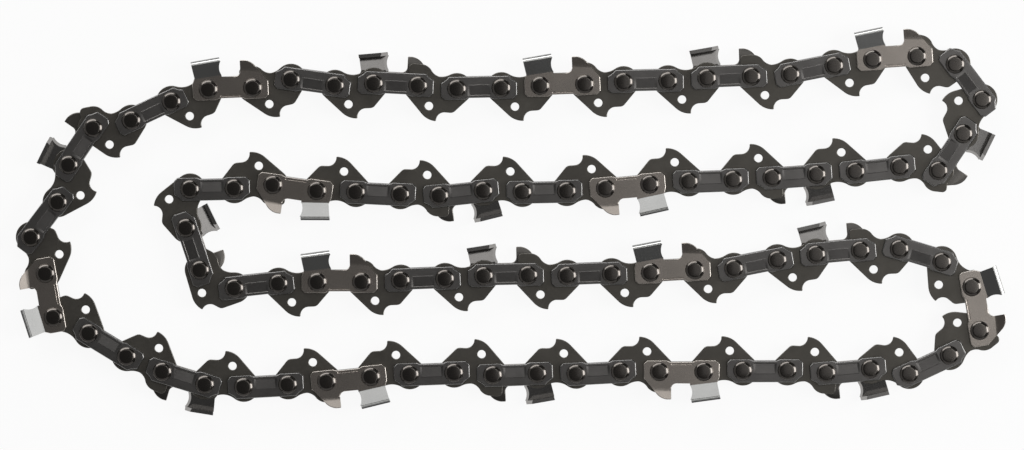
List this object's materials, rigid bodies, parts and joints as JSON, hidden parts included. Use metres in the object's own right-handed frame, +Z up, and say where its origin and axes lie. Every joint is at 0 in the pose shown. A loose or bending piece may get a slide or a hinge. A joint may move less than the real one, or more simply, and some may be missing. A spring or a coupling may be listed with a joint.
{
  "type": "chainsaw chain loop",
  "caption": "Closed loop of low-profile saw chain lying on its side: cutters with depth gauges, tie straps and hooked drive links on rivets, free to swing.",
  "frame": {"origin": "under the middle of the loop's outline, on the surface it lies on", "axes": "+X along the rows of the lying loop, +Z up, parallel to the rivets"},
  "size_m": [0.2214, 0.0866, 0.0048],
  "materials": {
    "drive_link": "blackened, satin",
    "tie_strap_link": "blackened, satin",
    "cutter_link": "plated, bright",
    "chain_run": "blackened, satin"
  },
  "bodies": {
    "tie_strap_link_00": {"tie_strap_link_00": "tie_strap_link"},
    "chain_run_01_to_03": {"chain_run_01_to_03": "chain_run"},
    "tie_strap_link_04": {"tie_strap_link_04": "tie_strap_link"},
    "drive_link_05": {"drive_link_05": "drive_link"},
    "cutter_link_06": {"cutter_link_06": "cutter_link"},
    "drive_link_07": {"drive_link_07": "drive_link"},
    "tie_strap_link_08": {"tie_strap_link_08": "tie_strap_link"},
    "drive_link_09": {"drive_link_09": "drive_link"},
    "cutter_link_10": {"cutter_link_10": "cutter_link"},
    "drive_link_11": {"drive_link_11": "drive_link"},
    "tie_strap_link_12": {"tie_strap_link_12": "tie_strap_link"},
    "chain_run_13_to_17": {"chain_run_13_to_17": "chain_run"},
    "cutter_link_18": {"cutter_link_18": "cutter_link"},
    "chain_run_19_to_21": {"chain_run_19_to_21": "chain_run"},
    "cutter_link_22": {"cutter_link_22": "cutter_link"},
    "chain_run_23_to_25": {"chain_run_23_to_25": "chain_run"},
    "cutter_link_26": {"cutter_link_26": "cutter_link"},
    "drive_link_27": {"drive_link_27": "drive_link"},
    "tie_strap_link_28": {"tie_strap_link_28": "tie_strap_link"},
    "chain_run_29_to_31": {"chain_run_29_to_31": "chain_run"},
    "tie_strap_link_32": {"tie_strap_link_32": "tie_strap_link"},
    "chain_run_33_to_35": {"chain_run_33_to_35": "chain_run"},
    "tie_strap_link_36": {"tie_strap_link_36": "tie_strap_link"},
    "drive_link_37": {"drive_link_37": "drive_link"},
    "cutter_link_38": {"cutter_link_38": "cutter_link"},
    "drive_link_39": {"drive_link_39": "drive_link"},
    "tie_strap_link_40": {"tie_strap_link_40": "tie_strap_link"},
    "chain_run_41_to_43": {"chain_run_41_to_43": "chain_run"},
    "tie_strap_link_44": {"tie_strap_link_44": "tie_strap_link"},
    "chain_run_45_to_47": {"chain_run_45_to_47": "chain_run"},
    "tie_strap_link_48": {"tie_strap_link_48": "tie_strap_link"},
    "chain_run_49_to_51": {"chain_run_49_to_51": "chain_run"},
    "tie_strap_link_52": {"tie_strap_link_52": "tie_strap_link"},
    "drive_link_53": {"drive_link_53": "drive_link"},
    "cutter_link_54": {"cutter_link_54": "cutter_link"},
    "chain_run_55_to_57": {"chain_run_55_to_57": "chain_run"},
    "cutter_link_58": {"cutter_link_58": "cutter_link"},
    "drive_link_59": {"drive_link_59": "drive_link"},
    "tie_strap_link_60": {"tie_strap_link_60": "tie_strap_link"},
    "drive_link_61": {"drive_link_61": "drive_link"},
    "cutter_link_62": {"cutter_link_62": "cutter_link"},
    "drive_link_63": {"drive_link_63": "drive_link"},
    "tie_strap_link_64": {"tie_strap_link_64": "tie_strap_link"},
    "drive_link_65": {"drive_link_65": "drive_link"},
    "cutter_link_66": {"cutter_link_66": "cutter_link"},
    "chain_run_67_to_71": {"chain_run_67_to_71": "chain_run"},
    "tie_strap_link_72": {"tie_strap_link_72": "tie_strap_link"},
    "drive_link_73": {"drive_link_73": "drive_link"},
    "cutter_link_74": {"cutter_link_74": "cutter_link"},
    "drive_link_75": {"drive_link_75": "drive_link"},
    "tie_strap_link_76": {"tie_strap_link_76": "tie_strap_link"},
    "drive_link_77": {"drive_link_77": "drive_link"},
    "cutter_link_78": {"cutter_link_78": "cutter_link"},
    "chain_run_79_to_81": {"chain_run_79_to_81": "chain_run"},
    "cutter_link_82": {"cutter_link_82": "cutter_link"},
    "chain_run_83_to_85": {"chain_run_83_to_85": "chain_run"},
    "cutter_link_86": {"cutter_link_86": "cutter_link"},
    "chain_run_87_to_89": {"chain_run_87_to_89": "chain_run"},
    "cutter_link_90": {"cutter_link_90": "cutter_link"},
    "drive_link_91": {"drive_link_91": "drive_link"}
  },
  "joints": [
    {"name": "pivot_18", "type": "hinge", "parent": "chain_run_13_to_17", "child": "cutter_link_18", "pos_m": [0.08108, 0.03609, 0.00238], "axis": [0, 0, -1], "range_deg": [-18, 18]},
    {"name": "pivot_19", "type": "hinge", "parent": "cutter_link_18", "child": "chain_run_19_to_21", "pos_m": [0.09099, 0.03678, 0.00238], "axis": [0, 0, -1], "range_deg": [-18, 18]},
    {"name": "pivot_22", "type": "hinge", "parent": "chain_run_19_to_21", "child": "cutter_link_22", "pos_m": [0.10126, 0.01942, 0.00238], "axis": [0, 0, 1], "range_deg": [-18, 18]},
    {"name": "pivot_23", "type": "hinge", "parent": "cutter_link_22", "child": "chain_run_23_to_25", "pos_m": [0.09571, 0.01119, 0.00238], "axis": [0, 0, 1], "range_deg": [-18, 18]},
    {"name": "pivot_26", "type": "hinge", "parent": "chain_run_23_to_25", "child": "cutter_link_26", "pos_m": [0.06848, 0.01045, 0.00238], "axis": [0, 0, -1], "range_deg": [-18, 18]},
    {"name": "pivot_27", "type": "hinge", "parent": "cutter_link_26", "child": "drive_link_27", "pos_m": [0.05858, 0.00976, 0.00238], "axis": [0, 0, -1], "range_deg": [-18, 18]},
    {"name": "pivot_28", "type": "hinge", "parent": "drive_link_27", "child": "tie_strap_link_28", "pos_m": [0.04988, 0.0093, 0.00238], "axis": [0, 0, -1], "range_deg": [-18, 18]},
    {"name": "pivot_29", "type": "hinge", "parent": "tie_strap_link_28", "child": "chain_run_29_to_31", "pos_m": [0.03996, 0.00896, 0.00238], "axis": [0, 0, -1], "range_deg": [-18, 18]},
    {"name": "pivot_32", "type": "hinge", "parent": "chain_run_29_to_31", "child": "tie_strap_link_32", "pos_m": [0.01269, 0.00688, 0.00238], "axis": [0, 0, -1], "range_deg": [-18, 18]},
    {"name": "pivot_33", "type": "hinge", "parent": "tie_strap_link_32", "child": "chain_run_33_to_35", "pos_m": [0.00276, 0.0067, 0.00238], "axis": [0, 0, -1], "range_deg": [-18, 18]},
    {"name": "pivot_36", "type": "hinge", "parent": "chain_run_33_to_35", "child": "tie_strap_link_36", "pos_m": [-0.02453, 0.00627, 0.00238], "axis": [0, 0, -1], "range_deg": [-18, 18]},
    {"name": "pivot_37", "type": "hinge", "parent": "tie_strap_link_36", "child": "drive_link_37", "pos_m": [-0.03444, 0.00679, 0.00238], "axis": [0, 0, -1], "range_deg": [-18, 18]},
    {"name": "pivot_38", "type": "hinge", "parent": "drive_link_37", "child": "cutter_link_38", "pos_m": [-0.04315, 0.0071, 0.00238], "axis": [0, 0, -1], "range_deg": [-18, 18]},
    {"name": "pivot_39", "type": "hinge", "parent": "cutter_link_38", "child": "drive_link_39", "pos_m": [-0.05298, 0.00848, 0.00238], "axis": [0, 0, -1], "range_deg": [-18, 18]},
    {"name": "pivot_40", "type": "hinge", "parent": "drive_link_39", "child": "tie_strap_link_40", "pos_m": [-0.06166, 0.00772, 0.00238], "axis": [0, 0, 1], "range_deg": [-8, 18]},
    {"name": "pivot_41", "type": "hinge", "parent": "tie_strap_link_40", "child": "chain_run_41_to_43", "pos_m": [-0.07159, 0.00755, 0.00238], "axis": [0, 0, 1], "range_deg": [-18, 8]},
    {"name": "pivot_44", "type": "hinge", "parent": "chain_run_41_to_43", "child": "tie_strap_link_44", "pos_m": [-0.06174, -0.01465, 0.00238], "axis": [0, 0, 1], "range_deg": [-18, 18]},
    {"name": "pivot_45", "type": "hinge", "parent": "tie_strap_link_44", "child": "chain_run_45_to_47", "pos_m": [-0.05186, -0.01361, 0.00238], "axis": [0, 0, 1], "range_deg": [-18, 18]},
    {"name": "pivot_48", "type": "hinge", "parent": "chain_run_45_to_47", "child": "tie_strap_link_48", "pos_m": [-0.02452, -0.013, 0.00238], "axis": [0, 0, 1], "range_deg": [-18, 18]},
    {"name": "pivot_49", "type": "hinge", "parent": "tie_strap_link_48", "child": "chain_run_49_to_51", "pos_m": [-0.0146, -0.01266, 0.00238], "axis": [0, 0, 1], "range_deg": [-18, 18]},
    {"name": "pivot_52", "type": "hinge", "parent": "chain_run_49_to_51", "child": "tie_strap_link_52", "pos_m": [0.01273, -0.01203, 0.00238], "axis": [0, 0, -1], "range_deg": [-18, 18]},
    {"name": "pivot_53", "type": "hinge", "parent": "tie_strap_link_52", "child": "drive_link_53", "pos_m": [0.02265, -0.01168, 0.00238], "axis": [0, 0, -1], "range_deg": [-18, 18]},
    {"name": "pivot_54", "type": "hinge", "parent": "drive_link_53", "child": "cutter_link_54", "pos_m": [0.03135, -0.01138, 0.00238], "axis": [0, 0, 1], "range_deg": [-18, 18]},
    {"name": "pivot_55", "type": "hinge", "parent": "cutter_link_54", "child": "chain_run_55_to_57", "pos_m": [0.04127, -0.01086, 0.00238], "axis": [0, 0, 1], "range_deg": [-18, 18]},
    {"name": "pivot_58", "type": "hinge", "parent": "chain_run_55_to_57", "child": "cutter_link_58", "pos_m": [0.06835, -0.00745, 0.00238], "axis": [0, 0, -1], "range_deg": [-18, 18]},
    {"name": "pivot_59", "type": "hinge", "parent": "cutter_link_58", "child": "drive_link_59", "pos_m": [0.07824, -0.00658, 0.00238], "axis": [0, 0, -1], "range_deg": [-18, 18]},
    {"name": "pivot_60", "type": "hinge", "parent": "drive_link_59", "child": "tie_strap_link_60", "pos_m": [0.08695, -0.00628, 0.00238], "axis": [0, 0, 1], "range_deg": [-18, 18]},
    {"name": "pivot_61", "type": "hinge", "parent": "tie_strap_link_60", "child": "drive_link_61", "pos_m": [0.09644, -0.00918, 0.00238], "axis": [0, 0, 1], "range_deg": [-18, 18]},
    {"name": "pivot_62", "type": "hinge", "parent": "drive_link_61", "child": "cutter_link_62", "pos_m": [0.10311, -0.01478, 0.00238], "axis": [0, 0, -1], "range_deg": [-18, 18]},
    {"name": "pivot_63", "type": "hinge", "parent": "cutter_link_62", "child": "drive_link_63", "pos_m": [0.10484, -0.02456, 0.00238], "axis": [0, 0, -1], "range_deg": [-18, 18]},
    {"name": "pivot_13", "type": "hinge", "parent": "chain_run_13_to_17", "child": "tie_strap_link_12", "pos_m": [0.03542, 0.03142, 0.00238], "axis": [0, 0, 1], "range_deg": [-8, 18]},
    {"name": "pivot_12", "type": "hinge", "parent": "tie_strap_link_12", "child": "drive_link_11", "pos_m": [0.02549, 0.03124, 0.00238], "axis": [0, 0, 1], "range_deg": [-18, 8]},
    {"name": "pivot_11", "type": "hinge", "parent": "drive_link_11", "child": "cutter_link_10", "pos_m": [0.0168, 0.03079, 0.00238], "axis": [0, 0, -1], "range_deg": [-18, 18]},
    {"name": "pivot_10", "type": "hinge", "parent": "cutter_link_10", "child": "drive_link_09", "pos_m": [0.00687, 0.03044, 0.00238], "axis": [0, 0, -1], "range_deg": [-18, 18]},
    {"name": "pivot_09", "type": "hinge", "parent": "drive_link_09", "child": "tie_strap_link_08", "pos_m": [-0.00183, 0.02999, 0.00238], "axis": [0, 0, -1], "range_deg": [-18, 18]},
    {"name": "pivot_08", "type": "hinge", "parent": "tie_strap_link_08", "child": "drive_link_07", "pos_m": [-0.01175, 0.02981, 0.00238], "axis": [0, 0, -1], "range_deg": [-18, 18]},
    {"name": "pivot_07", "type": "hinge", "parent": "drive_link_07", "child": "cutter_link_06", "pos_m": [-0.02043, 0.03057, 0.00238], "axis": [0, 0, -1], "range_deg": [-18, 18]},
    {"name": "pivot_06", "type": "hinge", "parent": "cutter_link_06", "child": "drive_link_05", "pos_m": [-0.03035, 0.03109, 0.00238], "axis": [0, 0, -1], "range_deg": [-18, 18]},
    {"name": "pivot_05", "type": "hinge", "parent": "drive_link_05", "child": "tie_strap_link_04", "pos_m": [-0.03905, 0.03064, 0.00238], "axis": [0, 0, -1], "range_deg": [-18, 18]},
    {"name": "pivot_04", "type": "hinge", "parent": "tie_strap_link_04", "child": "chain_run_01_to_03", "pos_m": [-0.04888, 0.03202, 0.00238], "axis": [0, 0, -1], "range_deg": [-18, 18]},
    {"name": "pivot_01", "type": "hinge", "parent": "chain_run_01_to_03", "child": "tie_strap_link_00", "pos_m": [-0.07561, 0.02717, 0.00238], "axis": [0, 0, 1], "range_deg": [-18, 18]},
    {"name": "pivot_00", "type": "hinge", "parent": "tie_strap_link_00", "child": "drive_link_91", "pos_m": [-0.08461, 0.02297, 0.00238], "axis": [0, 0, 1], "range_deg": [-18, 18]},
    {"name": "pivot_91", "type": "hinge", "parent": "drive_link_91", "child": "cutter_link_90", "pos_m": [-0.09316, 0.02131, 0.00238], "axis": [0, 0, 1], "range_deg": [-18, 18]},
    {"name": "pivot_90", "type": "hinge", "parent": "cutter_link_90", "child": "chain_run_87_to_89", "pos_m": [-0.09871, 0.01308, 0.00238], "axis": [0, 0, 1], "range_deg": [-18, 18]},
    {"name": "pivot_87", "type": "hinge", "parent": "chain_run_87_to_89", "child": "cutter_link_86", "pos_m": [-0.10405, -0.01125, 0.00238], "axis": [0, 0, -1], "range_deg": [-18, 18]},
    {"name": "pivot_86", "type": "hinge", "parent": "cutter_link_86", "child": "chain_run_83_to_85", "pos_m": [-0.10232, -0.02103, 0.00238], "axis": [0, 0, -1], "range_deg": [-18, 18]},
    {"name": "pivot_83", "type": "hinge", "parent": "chain_run_83_to_85", "child": "cutter_link_82", "pos_m": [-0.07795, -0.03332, 0.00238], "axis": [0, 0, 1], "range_deg": [-18, 18]},
    {"name": "pivot_82", "type": "hinge", "parent": "cutter_link_82", "child": "chain_run_79_to_81", "pos_m": [-0.06846, -0.03622, 0.00238], "axis": [0, 0, 1], "range_deg": [-18, 18]},
    {"name": "pivot_79", "type": "hinge", "parent": "chain_run_79_to_81", "child": "cutter_link_78", "pos_m": [-0.04116, -0.0356, 0.00238], "axis": [0, 0, 1], "range_deg": [-18, 18]},
    {"name": "pivot_78", "type": "hinge", "parent": "cutter_link_78", "child": "drive_link_77", "pos_m": [-0.03129, -0.03456, 0.00238], "axis": [0, 0, 1], "range_deg": [-18, 18]},
    {"name": "pivot_77", "type": "hinge", "parent": "drive_link_77", "child": "tie_strap_link_76", "pos_m": [-0.02259, -0.03405, 0.00238], "axis": [0, 0, 1], "range_deg": [-18, 18]},
    {"name": "pivot_76", "type": "hinge", "parent": "tie_strap_link_76", "child": "drive_link_75", "pos_m": [-0.01267, -0.0337, 0.00238], "axis": [0, 0, 1], "range_deg": [-18, 18]},
    {"name": "pivot_75", "type": "hinge", "parent": "drive_link_75", "child": "cutter_link_74", "pos_m": [-0.00397, -0.03426, 0.00238], "axis": [0, 0, -1], "range_deg": [-18, 18]},
    {"name": "pivot_74", "type": "hinge", "parent": "cutter_link_74", "child": "drive_link_73", "pos_m": [0.00595, -0.03391, 0.00238], "axis": [0, 0, -1], "range_deg": [-18, 18]},
    {"name": "pivot_73", "type": "hinge", "parent": "drive_link_73", "child": "tie_strap_link_72", "pos_m": [0.01466, -0.03401, 0.00238], "axis": [0, 0, 1], "range_deg": [-18, 18]},
    {"name": "pivot_72", "type": "hinge", "parent": "tie_strap_link_72", "child": "chain_run_67_to_71", "pos_m": [0.02458, -0.03349, 0.00238], "axis": [0, 0, 1], "range_deg": [-18, 18]},
    {"name": "pivot_67", "type": "hinge", "parent": "chain_run_67_to_71", "child": "cutter_link_66", "pos_m": [0.07054, -0.03394, 0.00238], "axis": [0, 0, -1], "range_deg": [-18, 18]},
    {"name": "pivot_66", "type": "hinge", "parent": "cutter_link_66", "child": "drive_link_65", "pos_m": [0.08044, -0.03308, 0.00238], "axis": [0, 0, -1], "range_deg": [-18, 18]},
    {"name": "pivot_65", "type": "hinge", "parent": "drive_link_65", "child": "tie_strap_link_64", "pos_m": [0.08907, -0.03424, 0.00238], "axis": [0, 0, 1], "range_deg": [-18, 18]}
  ],
  "couplings": [
    {"joint": "pivot_19", "follows": "pivot_18", "ratio": -1},
    {"joint": "pivot_22", "follows": "pivot_23", "ratio": -1},
    {"joint": "pivot_26", "follows": "pivot_18", "ratio": 1},
    {"joint": "pivot_27", "follows": "pivot_18", "ratio": -1},
    {"joint": "pivot_28", "follows": "pivot_29", "ratio": -1},
    {"joint": "pivot_33", "follows": "pivot_32", "ratio": -1},
    {"joint": "pivot_37", "follows": "pivot_36", "ratio": -1},
    {"joint": "pivot_38", "follows": "pivot_04", "ratio": -1},
    {"joint": "pivot_39", "follows": "pivot_04", "ratio": 1},
    {"joint": "pivot_40", "follows": "pivot_13", "ratio": 1},
    {"joint": "pivot_41", "follows": "pivot_13", "ratio": -1},
    {"joint": "pivot_45", "follows": "pivot_44", "ratio": -1},
    {"joint": "pivot_49", "follows": "pivot_48", "ratio": -1},
    {"joint": "pivot_53", "follows": "pivot_52", "ratio": -1},
    {"joint": "pivot_54", "follows": "pivot_72", "ratio": -1},
    {"joint": "pivot_55", "follows": "pivot_72", "ratio": 1},
    {"joint": "pivot_58", "follows": "pivot_67", "ratio": 1},
    {"joint": "pivot_59", "follows": "pivot_67", "ratio": -1},
    {"joint": "pivot_60", "follows": "pivot_83", "ratio": 1},
    {"joint": "pivot_61", "follows": "pivot_83", "ratio": -1},
    {"joint": "pivot_62", "follows": "pivot_86", "ratio": -1},
    {"joint": "pivot_63", "follows": "pivot_86", "ratio": 1},
    {"joint": "pivot_12", "follows": "pivot_13", "ratio": -1},
    {"joint": "pivot_11", "follows": "pivot_29", "ratio": -1},
    {"joint": "pivot_10", "follows": "pivot_29", "ratio": 1},
    {"joint": "pivot_09", "follows": "pivot_32", "ratio": 1},
    {"joint": "pivot_08", "follows": "pivot_32", "ratio": -1},
    {"joint": "pivot_07", "follows": "pivot_36", "ratio": 1},
    {"joint": "pivot_06", "follows": "pivot_36", "ratio": -1},
    {"joint": "pivot_05", "follows": "pivot_04", "ratio": -1},
    {"joint": "pivot_00", "follows": "pivot_01", "ratio": -1},
    {"joint": "pivot_91", "follows": "pivot_23", "ratio": -1},
    {"joint": "pivot_90", "follows": "pivot_23", "ratio": 1},
    {"joint": "pivot_87", "follows": "pivot_86", "ratio": -1},
    {"joint": "pivot_82", "follows": "pivot_83", "ratio": -1},
    {"joint": "pivot_79", "follows": "pivot_44", "ratio": 1},
    {"joint": "pivot_78", "follows": "pivot_44", "ratio": -1},
    {"joint": "pivot_77", "follows": "pivot_48", "ratio": 1},
    {"joint": "pivot_76", "follows": "pivot_48", "ratio": -1},
    {"joint": "pivot_75", "follows": "pivot_52", "ratio": 1},
    {"joint": "pivot_74", "follows": "pivot_52", "ratio": -1},
    {"joint": "pivot_73", "follows": "pivot_72", "ratio": -1},
    {"joint": "pivot_66", "follows": "pivot_67", "ratio": -1},
    {"joint": "pivot_65", "follows": "pivot_01", "ratio": 1}
  ]
}
